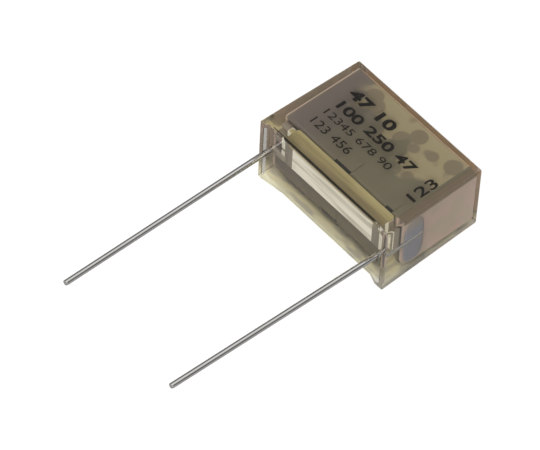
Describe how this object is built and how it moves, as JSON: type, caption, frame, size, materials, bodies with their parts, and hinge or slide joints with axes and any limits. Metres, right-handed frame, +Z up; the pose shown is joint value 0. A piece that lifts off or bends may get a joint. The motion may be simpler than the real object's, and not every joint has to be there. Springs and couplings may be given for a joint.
{
  "type": "film capacitor",
  "caption": "Film capacitor with a built-in series resistor: flattened winding in clear resin inside a clear drafted box, with straight round leads on one side for a circuit board.",
  "frame": {"origin": "on the axis of the left lead, in the plane of the feet that stand on the circuit board", "axes": "+X from the left lead to the right lead, -Y the way the leads leave the box, +Z up through the box's thickness as it lies on its wide side"},
  "size_m": [0.024, 0.0495, 0.0112],
  "materials": {
    "case_plastic": "clear, faintly amber, moulded and glossy",
    "potting_resin": "clear, faintly amber, cast and glossy",
    "metallised_paper": "metallised, impregnated, satin",
    "sprayed_metal": "flame-sprayed zinc alloy, matt and grainy",
    "tinned_copper": "bright drawn wire",
    "resistor_ceramic": "glazed, pale",
    "silver_terminal": "fired silver, tinned",
    "solder": "soft solder, satin"
  },
  "bodies": {
    "root": {"case": "case_plastic", "potting_resin": "potting_resin", "winding": "metallised_paper", "end_contact_left": "sprayed_metal", "end_contact_right": "sprayed_metal", "series_resistor": "resistor_ceramic", "resistor_terminal_lower": "silver_terminal", "resistor_terminal_upper": "silver_terminal", "resistor_turning_bar": "silver_terminal", "solder_lead_left": "solder", "solder_contact_left": "solder", "solder_lead_right": "solder", "lead_left": "tinned_copper", "lead_right": "tinned_copper"}
  },
  "joints": []
}
